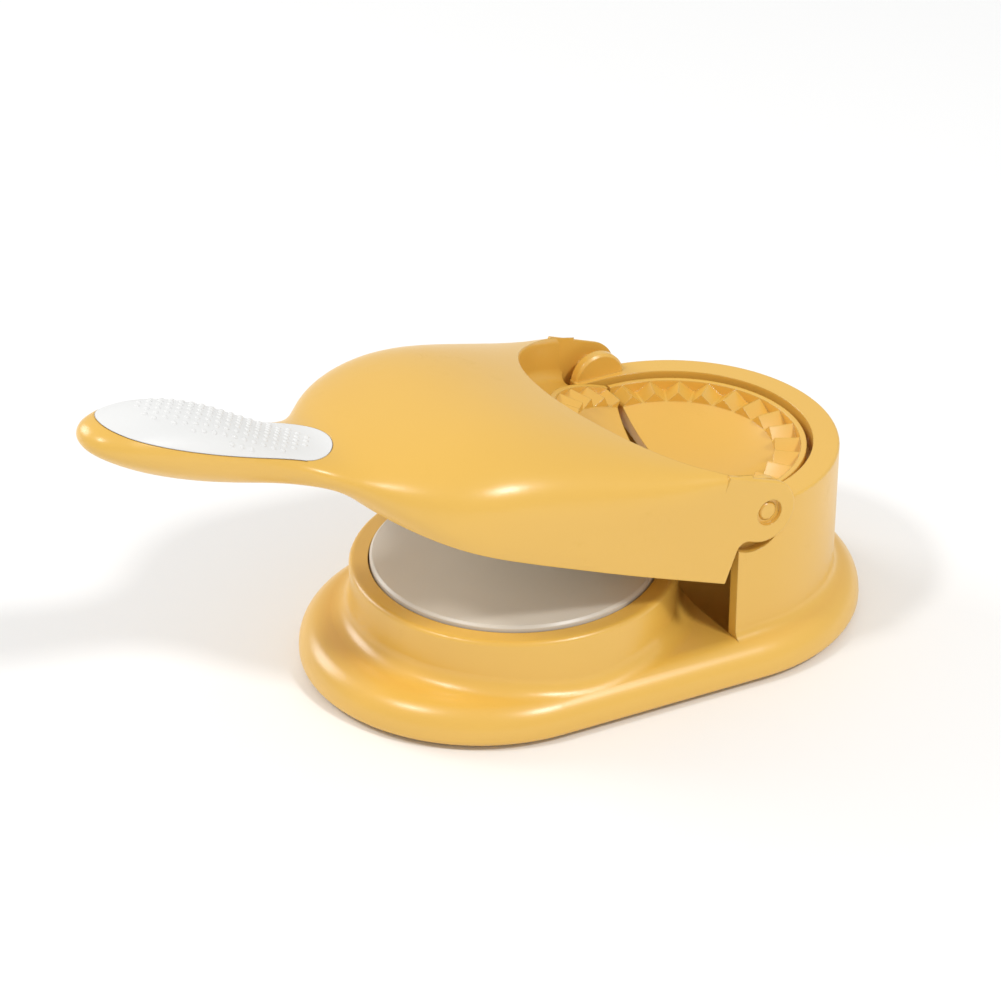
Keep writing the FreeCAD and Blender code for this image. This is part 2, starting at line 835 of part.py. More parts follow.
def mould_half(label, turn):
    """Half of the folding mould, reaching towards +X from the fold line."""
    body = doc.addObject("PartDesign::Body", f"{label}_dish")
    sketch = body_sketch(body, "XZ_Plane", f"{label}_profile")
    bind(sketch, {"AttachmentOffset.Base.y": "-mould_bottom_drop"})
    bottom = size("mould_bottom_drop")
    low = bottom - size("flange_bottom_drop")
    seat = bottom - size("flange_drop")
    lip = bottom - size("mould_lip_drop")
    floor = bottom - size("tooth_floor_drop")
    rim = size("mould_radius")
    inner = size("tooth_outer_radius")
    tooth = size("tooth_inner_radius")
    skin = size("mould_wall")
    corners = [
        (("tooth_inner_radius + mould_wall", "mould_bottom_drop - flange_bottom_drop"), (tooth + skin, low)),
        (("flange_radius", "mould_bottom_drop - flange_bottom_drop"), (size("flange_radius"), low)),
        (("flange_radius", "mould_bottom_drop - flange_drop"), (size("flange_radius"), seat)),
        (("mould_radius", "mould_bottom_drop - flange_drop"), (rim, seat)),
        (("mould_radius", "mould_bottom_drop - mould_lip_drop"), (rim, lip)),
        (("tooth_outer_radius", "mould_bottom_drop - mould_lip_drop"), (inner, lip)),
        (("tooth_outer_radius", "mould_bottom_drop - tooth_floor_drop"), (inner, floor)),
        (("tooth_inner_radius", "mould_bottom_drop - tooth_floor_drop"), (tooth, floor)),
    ]
    points = [Vector(x, y, 0) for _, (x, y) in corners]
    for one, other in zip(points, points[1:]):
        sketch.addGeometry(Part.LineSegment(one, other), False)
    last = len(points) - 1
    for (reach, rise), base in (((tooth, floor - skin), skin), ((tooth + skin, low), 0.0)):
        radius = (reach**2 + rise**2) / (2 * rise)
        middle = Vector(0, base + radius, 0)
        end = math.atan2(rise - radius, reach)
        sketch.addGeometry(
            Part.ArcOfCircle(Part.Circle(middle, Vector(0, 0, 1), radius), -math.pi / 2, end), False
        )
    inner_arc, outer_arc = last, last + 1
    sketch.addGeometry(Part.LineSegment(Vector(0, skin, 0), Vector(0, 0, 0)), False)
    axis_line = last + 2
    for index in range(last - 1):
        sketch.addConstraint(Sketcher.Constraint("Coincident", index, 2, index + 1, 1))
    fix_corners(sketch, corners[:last])
    for kind, formula, number in zip(("DistanceX", "DistanceY"), corners[last][0], corners[last][1]):
        dimension(sketch, kind, formula, number, -1, 1, last - 1, 2)
    for ends in ((last - 1, 2, inner_arc, 2), (inner_arc, 1, axis_line, 1), (axis_line, 2, outer_arc, 1),
                 (outer_arc, 2, 0, 1)):
        sketch.addConstraint(Sketcher.Constraint("Coincident", *ends))
    for arc in (inner_arc, outer_arc):
        sketch.addConstraint(Sketcher.Constraint("PointOnObject", arc, 3, -2))
    sketch.addConstraint(Sketcher.Constraint("Coincident", axis_line, 2, -1, 1))
    sketch.addConstraint(Sketcher.Constraint("PointOnObject", axis_line, 1, -2))
    dimension(sketch, "DistanceY", "mould_wall", skin, -1, 1, axis_line, 1)
    dish = body.newObject("PartDesign::Revolution", f"{label}_turned")
    dish.Profile = sketch
    dish.ReferenceAxis = (sketch, ["V_Axis"])
    dish.Angle = 360
    doc.recompute()
    tooth_loft = body.newObject("PartDesign::AdditiveLoft", f"{label}_tooth")
    tooth_loft.Profile = tooth_section(body, f"{label}_tooth_inner", "tooth_inner_radius")
    tooth_loft.Sections = [tooth_section(body, f"{label}_tooth_outer", "tooth_outer_radius")]
    tooth_loft.Ruled = True
    doc.recompute()
    ring = body.newObject("PartDesign::PolarPattern", f"{label}_teeth")
    ring.Originals = [tooth_loft]
    ring.Axis = (sketch, ["V_Axis"])
    ring.Angle = 360
    ring.Occurrences = MOULD_TEETH
    body.Tip = ring
    body.Placement = Placement(Vector(), Rotation(Vector(0, 0, 1), turn))
    doc.recompute()
    front = block(
        f"{label}_front", "flange_radius + overrun + mould_fold_gap", "2 * (flange_radius + overrun)",
        "mould_bottom_drop + 2 * overrun", x="-flange_radius - overrun", y="-flange_radius - overrun",
        z="-mould_bottom_drop - overrun",
    )
    corners = [
        block(
            f"{label}_corner_{side}", "flange_start", "flange_radius - mould_radius + overrun",
            "mould_bottom_drop + 2 * overrun",
            x="0",
            y=side_start(side, "mould_radius", "flange_radius + overrun"),
            z="-mould_bottom_drop - overrun",
        )
        for side in SIDES
    ]
    holes = [
        post_hole(f"{label}_hole_{number}", where, "screw_shank_radius + screw_hole_gap",
                  "-flange_bottom_drop - overrun", "flange_thickness + 2 * overrun")
        for number, where in enumerate(flange_places("0", 1), start=1)
    ]
    return cut(label, body, fuse(f"{label}_cuts", [front, *corners, *holes]))


fixed_mould_half = mould_half("fixed_mould_half", 0.0)
bind(fixed_mould_half, place(x="hinge_x", z="hinge_height"))
moving_mould_half = mould_half("moving_mould_half", 180.0 / MOULD_TEETH)

# The arm is drawn with the press closed, and lifted about the hinge to its resting place

HINGE = Vector(size("hinge_x"), 0, size("hinge_height"))


def lifted(angle):
    """A turn about the hinge line that raises the handle."""
    return Placement(Vector(), Rotation(Vector(0, 1, 0), angle), HINGE)


ARM_REST = lifted(size("arm_lift"))
moving_mould_half.Placement = Placement(
    HINGE, Rotation(Vector(0, 1, 0), size("arm_lift")) * Rotation(Vector(0, 0, 1), 180)
)

# Handle sections from tip to neck: shares of its length, half width, and thickness above and below
HANDLE_SHARES = (
    (0.0, 0.34, 0.03, 0.28),
    (0.07, 0.66, 0.20, 0.38),
    (0.17, 0.86, 0.40, 0.46),
    (0.30, 0.98, 0.52, 0.52),
    (0.48, 1.01, 0.53, 0.53),
    (0.65, 0.94, 0.40, 0.49),
    (0.80, 0.90, 0.26, 0.43),
    (0.92, 1.04, 0.24, 0.39),
)
HANDLE_POWER = 2.2
TIP_POWER = 6
# Body sections from neck to rear end: shares of its length, half width and height, then the
# powers that say how square the section is above and below its widest level
BODY_SHARES = (
    (0.02, 0.43, 0.36, 2.1, 2.2),
    (0.09, 0.65, 0.52, 2.2, 2.6),
    (0.18, 0.83, 0.69, 2.4, 3.2),
    (0.28, 0.925, 0.85, 2.7, 4.0),
    (0.40, 0.965, 0.96, 3.0, 4.6),
    (0.55, 0.985, 1.00, 3.4, 5.0),
    (0.70, 1.01, 0.99, 4.6, 5.4),
    (0.84, 1.05, 0.985, 7.0, 6.0),
    (0.92, 1.09, 1.03, 9.0, 6.4),
    (1.00, 1.12, 1.055, 10.0, 6.6),
)
SKIRT_START_SHARE = 0.05
SKIRT_FULL_SHARE = 0.28
SECTION_POLES = 48
SKIN_DEGREE = 3


def oval(along, half, middle, rise, drop, upper, lower, flat):
    """Poles of a superellipse across the arm, with its own power above and below and flat sides."""
    swell = 3 / (2 + math.cos(math.tau / SECTION_POLES))
    poles = []
    for index in range(SECTION_POLES):
        angle = math.tau * index / SECTION_POLES - math.pi / 2
        across, upward = math.cos(angle), math.sin(angle)
        power = upper if upward > 0 else lower
        height = rise if upward > 0 else drop
        reach = swell * (abs(across) ** power + abs(upward) ** power) ** (-1 / power)
        side = max(-flat, min(flat, half * reach * across))
        poles.append(Vector(along, side, middle + height * reach * upward))
    return poles


def skin(rings):
    """A solid under one smooth surface that the rings of poles draw, closed at its open ends."""
    spans = len(rings) - SKIN_DEGREE
    ends = SKIN_DEGREE + 1
    surface = Part.BSplineSurface()
    surface.buildFromPolesMultsKnots(
        rings,
        [ends] + [1] * (spans - 1) + [ends],
        [1] * (SECTION_POLES + 1),
        list(range(spans + 1)),
        list(range(SECTION_POLES + 1)),
        False,
        True,
        SKIN_DEGREE,
        SKIN_DEGREE,
    )
    faces = [surface.toShape()]
    for ring, place_in_row in ((rings[0], 0), (rings[-1], spans)):
        if (ring[0] - ring[1]).Length > 0:
            faces.append(Part.Face(Part.Wire([surface.uIso(place_in_row).toShape()])))
    shell = Part.makeShell(faces)
    shell.sewShape()
    solid = Part.makeSolid(shell)
    if solid.Volume < 0:
        solid.reverse()
    return solid


ARM_REAR = size("hinge_x") - size("skirt_rear")
NECK = ARM_REAR - size("body_length")
TIP = NECK - size("handle_length")
SKIRT_LEVEL = size("hinge_height") - size("skirt_drop")
HANDLE_LEVEL = size("hinge_height") - size("handle_drop")


def handle_sections(inset=0.0, start=0):
    half = size("handle_width")
    thick = size("handle_thickness")
    sections = [] if start else [[Vector(TIP, 0, HANDLE_LEVEL - size("tip_drop"))] * SECTION_POLES]
    for along, wide, above, below in HANDLE_SHARES[start:]:
        where = TIP + size("handle_length") * along
        sag = size("tip_drop") * (1 - along) ** TIP_POWER
        sections.append(
            oval(
                where,
                half * wide / 2 - inset,
                HANDLE_LEVEL - sag,
                thick * above + sag - inset,
                thick * below - sag - inset,
                HANDLE_POWER,
                HANDLE_POWER,
                half,
            )
        )
    return sections


def body_sections(inset, start=0):
    """Sections of the arm's body; the skirt runs on below its edge and is trimmed later."""
    tall = size("skirt_drop") + size("crown_rise")
    widest = size("hinge_height") - size("widest_drop")
    least = BODY_SHARES[0][2]
    sections = []
    for along, wide, high, upper, lower in BODY_SHARES[start:]:
        middle = HANDLE_LEVEL + (widest - HANDLE_LEVEL) * min(1.0, (high - least) / (1 - least))
        deepen = min(1.0, (along - SKIRT_START_SHARE) / (SKIRT_FULL_SHARE - SKIRT_START_SHARE))
        sections.append(
            oval(
                NECK + size("body_length") * along,
                size("ear_outer") * wide - inset,
                middle,
                SKIRT_LEVEL + tall * high - inset - middle,
                middle - SKIRT_LEVEL + size("skirt_depth") * deepen,
                upper,
                lower,
                size("ear_outer") + size("side_skim") - inset,
            )
        )
    return sections


def box(low, high):
    reach = high - low
    return Part.makeBox(reach.x, reach.y, reach.z, low)


def loft(sections, half):
    """A smooth form through sections, its sides skimmed flat at a half width."""
    form = skin(sections)
    reach = form.BoundBox
    return form.common(box(Vector(reach.XMin, -half, reach.ZMin), Vector(reach.XMax, half, reach.ZMax)))


def pillar(radius, bottom, top, x, y):
    return Part.makeCylinder(radius, top - bottom, Vector(x, y, bottom))


def turned(points, arcs):
    """A solid turned about the hinge's upright line; arcs give the middle point of a side."""
    edges = []
    for index, (one, other) in enumerate(zip(points, points[1:] + points[:1])):
        if index in arcs:
            edges.append(Part.Arc(one, arcs[index], other).toShape())
        else:
            edges.append(Part.makeLine(one, other))
    face = Part.Face(Part.Wire(edges))
    solid = face.revolve(Vector(), Vector(0, 0, 1), 360)
    solid.Placement = Placement(HINGE, Rotation())
    return solid


def scoop_form(drop, grow):
    """The room round the moving mould: flat floor, hollow corner, sloping side and rolled mouth."""
    slope = math.radians(size("scoop_slope"))
    along = Vector(math.cos(slope), 0, math.sin(slope))
    outward = Vector(math.sin(slope), 0, -math.cos(slope))
    halfway = Vector(math.sin(slope / 2), 0, -math.cos(slope / 2))
    anchor = Vector(size("scoop_radius"), 0, -size("scoop_drop")) + outward * grow
    foot = anchor + along * ((-drop - anchor.z) / along.z)
    curve = size("scoop_round") + grow
    setback = curve * math.tan(slope / 2)
    floor_end = foot - Vector(setback, 0, 0)
    roll = size("scoop_mouth_round") - grow
    level = size("crown_rise") + size("scoop_mouth_rise") - grow
    edge = anchor + along * ((level - roll * (1 - math.cos(slope)) - anchor.z) / along.z)
    middle = edge + outward * roll
    far = size("body_length")
    top = level + size("handle_thickness")
    points = [
        Vector(0, 0, -drop),
        floor_end,
        foot + along * setback,
        edge,
        middle + Vector(0, 0, roll),
        Vector(far, 0, level),
        Vector(far, 0, top),
        Vector(0, 0, top),
    ]
    bends = {1: floor_end + Vector(0, 0, curve) + halfway * curve, 3: middle - halfway * roll}
    return turned(points, bends)


over = size("overrun")
wide = size("ear_outer") + over
ear_inner = size("ear_inner")
high = size("hinge_height") + size("crown_rise") + size("handle_thickness")
arm_outer = loft(handle_sections() + body_sections(0.0), size("ear_outer"))
arm_inner = loft(body_sections(size("arm_wall"), 1), size("ear_outer") - size("arm_wall"))
skirt_start = NECK + size("body_length") * BODY_SHARES[0][0]
below_skirt = box(Vector(skirt_start, -wide, -over), Vector(ARM_REAR + over, wide, SKIRT_LEVEL))
between_ears = box(Vector(TIP, -ear_inner, 0), Vector(size("hinge_x") + wide, ear_inner, high))
scoop = scoop_form(size("scoop_drop"), 0.0).common(between_ears)
floor_drop = size("scoop_drop") + size("scoop_floor")
scoop_keep = scoop_form(floor_drop, size("arm_wall"))
arm_solid = arm_outer.cut(below_skirt).cut(scoop)
arm_cavity = arm_inner.cut(scoop_keep)
flap_opening = turned(
    [
        Vector(0, 0, -floor_drop - over),
        Vector(size("flap_opening_radius"), 0, -floor_drop - over),
        Vector(size("flap_opening_radius"), 0, size("crown_rise")),
        Vector(0, 0, size("crown_rise")),
    ],
    {},
)

# Ears: flat plates that carry the arm's sides back round the hinge pins, outside the housing
def ear_plate(sign):
    radius = size("ear_radius")
    bend = size("heel_round")
    middle = HINGE - Vector(size("ear_lead"), 0, 0)
    top = middle + Vector(0, 0, radius)
    bottom = middle - Vector(0, 0, radius)
    front = ARM_REAR - size("ear_overlap")
    heel = size("hinge_x") - size("heel_reach")
    turn = Vector(heel + bend, 0, bottom.z - bend)
    slant = bend * math.sqrt(0.5)
    above = turn + Vector(0, 0, bend)
    behind = turn - Vector(bend, 0, 0)
    foot = Vector(heel, 0, SKIRT_LEVEL)
    crest = Vector(front, 0, top.z - size("ear_fall"))
    corners = [behind, foot, Vector(front, 0, SKIRT_LEVEL), crest, top]
    edges = [Part.makeLine(one, other) for one, other in zip(corners, corners[1:])]
    edges.append(Part.Arc(top, middle + Vector(radius, 0, 0), bottom).toShape())
    edges.append(Part.makeLine(bottom, above))
    edges.append(Part.Arc(above, turn + Vector(-slant, 0, slant), behind).toShape())
    face = Part.Face(Part.Wire(edges))
    face.translate(Vector(0, sign * ear_inner, 0))
    plate = face.extrude(Vector(0, sign * size("ear_skin"), 0))
    outer_edges = [
        edge
        for edge in plate.Edges
        if all(near(abs(at.y), size("ear_outer")) for at in edge.discretize(3))
        and not all(near(at.x, front) for at in edge.discretize(3))
        and not all(near(at.z, SKIRT_LEVEL) for at in edge.discretize(3))
    ]
    return plate.makeFillet(size("ear_round"), outer_edges)


def crossbar(radius, inner, outer, sign):
    start = HINGE + Vector(0, sign * inner, 0)
    return Part.makeCylinder(radius, outer - inner, start, Vector(0, sign, 0))


cover_top = size("cover_level") + size("cover_thickness")
# Cover posts: shares of the body's length from the neck, and of the half width
COVER_POST_SHARES = ((0.885, 0.84), (0.238, 0.485))
COVER_POSTS = [
    (NECK + size("body_length") * along, sign * size("ear_outer") * across)
    for along, across in COVER_POST_SHARES
    for sign in SIDES.values()
]
arm_posts = [
    pillar(size("cover_post_radius"), cover_top, high, *where).common(arm_solid) for where in COVER_POSTS
]
ears = [ear_plate(sign) for sign in SIDES.values()]
bosses = [
    crossbar(size("ear_boss_radius"), size("ear_boss_face"), size("ear_outer") - over, sign)
    for sign in SIDES.values()
]
arm_body = arm_solid.cut(arm_cavity).cut(flap_opening)
arm_body = arm_body.fuse(ears + bosses + arm_posts)
pin_cuts = []
for sign in SIDES.values():
    pin_cuts.append(
        crossbar(size("pin_radius") + size("pin_running_gap"), size("ear_boss_face") - over, wide, sign)
    )
    pin_cuts.append(crossbar(size("pin_bore_radius"), size("ear_outer") - size("pin_bore_depth"), wide, sign))
post_cuts = [
    pillar(size("screw_shank_radius"), cover_top - over, cover_top + size("post_screw_bite"), *where)
    for where in COVER_POSTS
]


def flap_screw_cut(angle):
    spread = math.radians(angle)
    reach = size("flange_screw_circle")
    cutter = pillar(
        size("screw_shank_radius"),
        -floor_drop - over,
        size("screw_bite") - floor_drop,
        -reach * math.cos(spread),
        reach * math.sin(spread),
    )
    cutter.translate(HINGE)
    return cutter


flap_cuts = [flap_screw_cut(angle) for angle in FLANGE_SCREW_ANGLES]


# Grip: a pale cap over the upper half of the handle, rounded off at the neck. Its inside leaves
# out the first handle sections and runs into the first body sections.
LEFT_OUT_SECTION_COUNT = 2
BODY_SECTION_COUNT = 3


def grip_form(gap):
    """The handle's upper skin above the parting level, grown by a gap."""
    reach = size("grip_end_radius")
    end = TIP + size("grip_length") - reach
    level = HANDLE_LEVEL + size("grip_rise") - gap
    half = size("handle_width") / 2 + over
    zone = box(Vector(TIP - over, -half, level), Vector(end, half, high))
    zone = zone.fuse(pillar(reach + gap, level, high, end, 0))
    depth = size("grip_thickness") + gap
    core = skin(handle_sections(depth, LEFT_OUT_SECTION_COUNT) + body_sections(depth)[:BODY_SECTION_COUNT])
    return zone.cut(core)


grip_shape = arm_outer.common(grip_form(0.0))
arm_shape = arm_body.cut(pin_cuts + post_cuts + flap_cuts + [grip_form(size("grip_gap"))])

# Cover across the arm's hollow, with the upper press plate screwed below it
cover_slab = box(
    Vector(NECK, -wide, cover_top - size("cover_thickness")), Vector(ARM_REAR - over, wide, cover_top)
)
cover_inset = size("arm_wall") + size("cover_gap")
cover_form = loft(body_sections(cover_inset, 1), size("ear_outer") - cover_inset).common(cover_slab)
cover_cuts = [
    pillar(size("screw_shank_radius") + size("screw_hole_gap"), cover_top - size("cover_thickness") - over,
           cover_top + over, *where)
    for where in COVER_POSTS
]


def upper_screw_places():
    places = []
    for index in range(PLATE_SCREWS):
        angle = math.pi + math.tau * index / PLATE_SCREWS
        reach = size("press_screw_circle")
        places.append((size("press_offset") + reach * math.cos(angle), reach * math.sin(angle)))
    return places


cover_cuts += [
    pillar(size("screw_shank_radius") + size("screw_hole_gap"), cover_top - size("cover_thickness") - over,
           cover_top + over, *where)
    for where in upper_screw_places()
]
cover_shape = cover_form.cut(cover_cuts)


def feature(label, shape):
    item = doc.addObject("Part::Feature", label)
    item.Shape = shape
    item.Placement = ARM_REST
    return item


arm_shell = feature("arm_shell", arm_shape)
arm_cover = feature("arm_cover", cover_shape)
grip_pad = feature("grip_pad", grip_shape)
upper_disc = press_disc("upper_disc", "upper_plate_radius", "upper_plate_thickness")
upper_disc.Placement = Placement(
    Vector(size("press_offset"), 0, size("cover_level")), Rotation(Vector(1, 0, 0), 180)
)
arm_screw_places = [(f"{x}", f"{y}") for x, y in upper_screw_places()]
upper_bores = [
    post_hole(f"upper_bore_{number}", where, "screw_shank_radius", "cover_level - screw_bite",
              "screw_bite + overrun")
    for number, where in enumerate(arm_screw_places, start=1)
]
upper_press_plate = cut("upper_press_plate", upper_disc, fuse("upper_bores", upper_bores))
upper_press_plate.Placement = ARM_REST
upper_plate_screws = screws(
    "upper_plate_screws", arm_screw_places, "cover_level + cover_thickness",
    "cover_thickness + screw_bite", -1
)
upper_plate_screws.Placement = ARM_REST
arm_cover_screws = screws(
    "arm_cover_screws", [(f"{x}", f"{y}") for x, y in COVER_POSTS], "cover_level",
    "cover_thickness + post_screw_bite", 1
)
arm_cover_screws.Placement = ARM_REST
moving_mould_screws = screws(
    "moving_mould_screws", flange_places("0", -1), "-flange_bottom_drop", "flange_thickness + screw_bite", 1
)
moving_mould_screws.Placement = Placement(HINGE, Rotation(Vector(0, 1, 0), size("arm_lift")))

NODES = [
    base_shell, base_plate, *feet, base_plate_screws, lower_press_plate, lower_plate_screws, fixed_mould_half,
    fixed_mould_screws, *pins, arm_shell, arm_cover, arm_cover_screws, upper_press_plate, upper_plate_screws,
    moving_mould_half, moving_mould_screws, grip_pad,
]
doc.recompute()
for item in doc.Objects:
    if "Invalid" in item.State or "Error" in item.State:
        raise RuntimeError(f"{item.Name} failed: {item.State}")
os.makedirs("parts", exist_ok=True)
for item in NODES:
    shape = item.Shape
    if shape.isNull() or not shape.isValid():
        raise RuntimeError(f"{item.Label} is not a sound shape")
    print(item.Label, len(shape.Solids), round(shape.Volume, 1))
    shape.exportStep(f"parts/{item.Label}.step")
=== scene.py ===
import json
import math

import bpy
import numpy as np
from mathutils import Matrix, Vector
from mathutils.bvhtree import BVHTree


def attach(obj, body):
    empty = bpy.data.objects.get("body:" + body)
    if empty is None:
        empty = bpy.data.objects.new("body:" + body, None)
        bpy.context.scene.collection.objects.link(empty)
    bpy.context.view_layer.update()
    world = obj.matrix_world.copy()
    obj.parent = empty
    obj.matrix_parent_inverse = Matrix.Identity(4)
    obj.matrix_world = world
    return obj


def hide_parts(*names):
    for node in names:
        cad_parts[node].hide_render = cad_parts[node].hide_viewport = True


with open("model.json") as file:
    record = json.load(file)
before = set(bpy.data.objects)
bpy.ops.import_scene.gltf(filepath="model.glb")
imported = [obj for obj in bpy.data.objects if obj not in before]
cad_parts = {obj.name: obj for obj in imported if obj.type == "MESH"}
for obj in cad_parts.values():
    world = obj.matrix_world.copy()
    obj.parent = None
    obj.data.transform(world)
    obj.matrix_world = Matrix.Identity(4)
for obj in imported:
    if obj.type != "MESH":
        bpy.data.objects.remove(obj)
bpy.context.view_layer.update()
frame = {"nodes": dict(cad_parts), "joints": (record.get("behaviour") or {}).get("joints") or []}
nodes = frame["nodes"]
hinge = frame["joints"][0]
print("frame loaded with", len(nodes), "nodes")


# Camera: on a sphere round the target, azimuth counted from straight in front of the near side
view = {
    "target": (0.00719, 0.0, 0.0526),
    "azimuth": math.radians(-29.84),
    "elevation": math.radians(29.90),
    "distance": 1.0265,
    "lens": 119.97,
    "sensor": 36.0,
}


def onSphere(azimuth, elevation, distance):
    # Point at that bearing and height above the table, as seen from the target
    flat = math.cos(elevation) * distance
    return Vector((math.sin(azimuth) * flat, -math.cos(azimuth) * flat, math.sin(elevation) * distance))


def aim(thing, place, target):
    # Puts an object at place with its -Z axis through target
    thing.location = place
    thing.rotation_euler = (target - place).to_track_quat("-Z", "Y").to_euler()


def addCamera():
    made = bpy.data.cameras.new("photoCamera")
    made.lens = view["lens"]
    made.sensor_width = view["sensor"]
    camera = bpy.data.objects.new("photoCamera", made)
    bpy.context.scene.collection.objects.link(camera)
    target = Vector(view["target"])
    aim(camera, target + onSphere(view["azimuth"], view["elevation"], view["distance"]), target)
    bpy.context.scene.camera = camera


addCamera()
print("camera set")


class Wire:
    # One socket of a shader tree. Sums and products of wires add Math nodes to the tree
    def __init__(self, tree, socket=None):
        self.tree = tree
        self.socket = socket

    def node(self, kind, settings=None, inputs=None, out=0):
        made = self.tree.nodes.new(kind)
        for name, value in (settings or {}).items():
            setattr(made, name, value)
        for name, value in (inputs or {}).items():
            if isinstance(value, Wire):
                self.tree.links.new(value.socket, made.inputs[name])
            else:
                made.inputs[name].default_value = value
        return Wire(self.tree, made.outputs[out] if len(made.outputs) else None)

    def math(self, operation, first, second):
        return self.node("ShaderNodeMath", {"operation": operation}, {0: first, 1: second})

    def __add__(self, other):
        return self.math("ADD", self, other)

    def __radd__(self, other):
        return self.math("ADD", other, self)

    def __sub__(self, other):
        return self.math("SUBTRACT", self, other)

    def __rsub__(self, other):
        return self.math("SUBTRACT", other, self)

    def __mul__(self, other):
        return self.math("MULTIPLY", self, other)

    def __rmul__(self, other):
        return self.math("MULTIPLY", other, self)


def opened(name):
    # A new material with an empty tree, and a wire that adds nodes to it
    material = bpy.data.materials.new(name)
    material.use_nodes = True
    material.node_tree.nodes.clear()
    return material, Wire(material.node_tree)


def closed(wire, shader):
    wire.node("ShaderNodeOutputMaterial", None, {"Surface": shader})


def objectPlace(wire):
    return wire.node("ShaderNodeTexCoord", None, None, "Object")


def noise(wire, place, scale, detail, roughness=0.5):
    return wire.node("ShaderNodeTexNoise", None,
                     {"Vector": place, "Scale": scale, "Detail": detail, "Roughness": roughness})


def blend(wire, share, first, second):
    # A colour between two others, by the numbers of the Mix node's colour sockets
    return wire.node("ShaderNodeMix", {"data_type": "RGBA"}, {0: share, 6: first, 7: second}, 2)


def swing(wave, width):
    # A noise from 0 to 1 as a swing of that width about zero
    return (wave - 0.5) * width


# Moulded plastics: colour drifts slowly over the part, a fine spark grain dulls the gloss, edges shine
bodyLook = {
    "colour": (0.76, 0.445, 0.073, 1.0),
    "drift": (0.79, 0.472, 0.083, 1.0),
    "roughness": 0.29,
    "shine": 0.8,
    "polish": 0.06,
    "grain": 0.00016,
    "relief": 0.000012,
    "edge": 0.0006,
    "flow": 0.045,
}
# The plate's two tones are darker and warmer than its off-white plastic. This is painted shade and painted
# yellow bounce light, standing in for the shade under the arm.
plateShadePaintedLook = {
    "colour": (0.67, 0.615, 0.525, 1.0),
    "drift": (0.705, 0.655, 0.570, 1.0),
    "roughness": 0.33,
    "shine": 0.5,
    "polish": 0.08,
    "grain": 0.00014,
    "relief": 0.000008,
    "edge": 0.0005,
    "flow": 0.030,
}
gripLook = {
    "colour": (0.77, 0.77, 0.755, 1.0),
    "drift": (0.80, 0.80, 0.79, 1.0),
    "roughness": 0.46,
    "shine": 0.5,
    "polish": 0.08,
    "grain": 0.00022,
    "relief": 0.000014,
    "edge": 0.0004,
    "flow": 0.025,
}


moulding = {
    "index": 1.49,
    "flowDetail": 2.0,
    "grainDetail": 1.0,
    "smudgesPerFlow": 3.0,
    "smudgeDetail": 3.0,
    "smudgeRoughness": 0.55,
    "smudgeSwing": 0.05,
    "grainSwing": 0.05,
    "edgeGain": 2.5,
    "edgeSamples": 4,
}


def mouldedPlastic(name, look):
    # Base colour is a slow noise between two tones, roughness a finer noise less the polish on edges,
    # and the normal is the rounded edge with the grain as a bump on it
    material, wire = opened(name)
    place = objectPlace(wire)
    flow = noise(wire, place, 1 / look["flow"], moulding["flowDetail"])
    grain = noise(wire, place, 1 / look["grain"], moulding["grainDetail"])
    smudge = noise(wire, place, moulding["smudgesPerFlow"] / look["flow"], moulding["smudgeDetail"],
                   moulding["smudgeRoughness"])
    rounded = wire.node("ShaderNodeBevel", {"samples": moulding["edgeSamples"]}, {"Radius": look["edge"]})
    facing = wire.node("ShaderNodeNewGeometry", None, None, "Normal")
    along = wire.node("ShaderNodeVectorMath", {"operation": "DOT_PRODUCT"},
                      {0: rounded, 1: facing}, "Value")
    edge = (1 - along) * moulding["edgeGain"]
    tone = blend(wire, flow, look["colour"], look["drift"])
    gloss = (look["roughness"] + swing(smudge, moulding["smudgeSwing"])
             + swing(grain, moulding["grainSwing"]) - edge * look["polish"])
    bump = wire.node("ShaderNodeBump", None,
                     {"Strength": 1.0, "Distance": look["relief"], "Height": grain, "Normal": rounded})
    shader = wire.node("ShaderNodeBsdfPrincipled", None,
                       {"Base Color": tone, "Roughness": gloss, "IOR": moulding["index"],
                        "Specular IOR Level": look["shine"], "Normal": bump})
    closed(wire, shader)
    return material


rubberLook = {
    "colour": (0.030, 0.029, 0.028, 1.0),
    "dust": (0.062, 0.060, 0.056, 1.0),
    "roughness": 0.72,
    "roughnessSwing": 0.2,
    "patches": 420.0,
    "patchDetail": 4.0,
    "pores": 3800.0,
    "poreDetail": 2.0,
    "relief": 0.00003,
}


def footRubber(look):
    # Dark rubber: dust is a patchy noise that lightens the colour and dulls the surface
    material, wire = opened("footRubber")
    place = objectPlace(wire)
    patch = noise(wire, place, look["patches"], look["patchDetail"])
    pores = noise(wire, place, look["pores"], look["poreDetail"])
    bump = wire.node("ShaderNodeBump", None,
                     {"Strength": 1.0, "Distance": look["relief"], "Height": pores})
    shader = wire.node("ShaderNodeBsdfPrincipled", None,
                       {"Base Color": blend(wire, patch, look["colour"], look["dust"]),
                        "Roughness": look["roughness"] + swing(patch, look["roughnessSwing"]),
                        "Normal": bump})
    closed(wire, shader)
    return material


steelLook = {
    "colour": (0.60, 0.59, 0.57, 1.0),
    "dull": (0.46, 0.45, 0.43, 1.0),
    "roughness": 0.30,
    "roughnessSwing": 0.16,
    "patches": 600.0,
    "patchDetail": 3.0,
    "marks": 5200.0,
    "markDetail": 2.0,
    "relief": 0.000006,
}


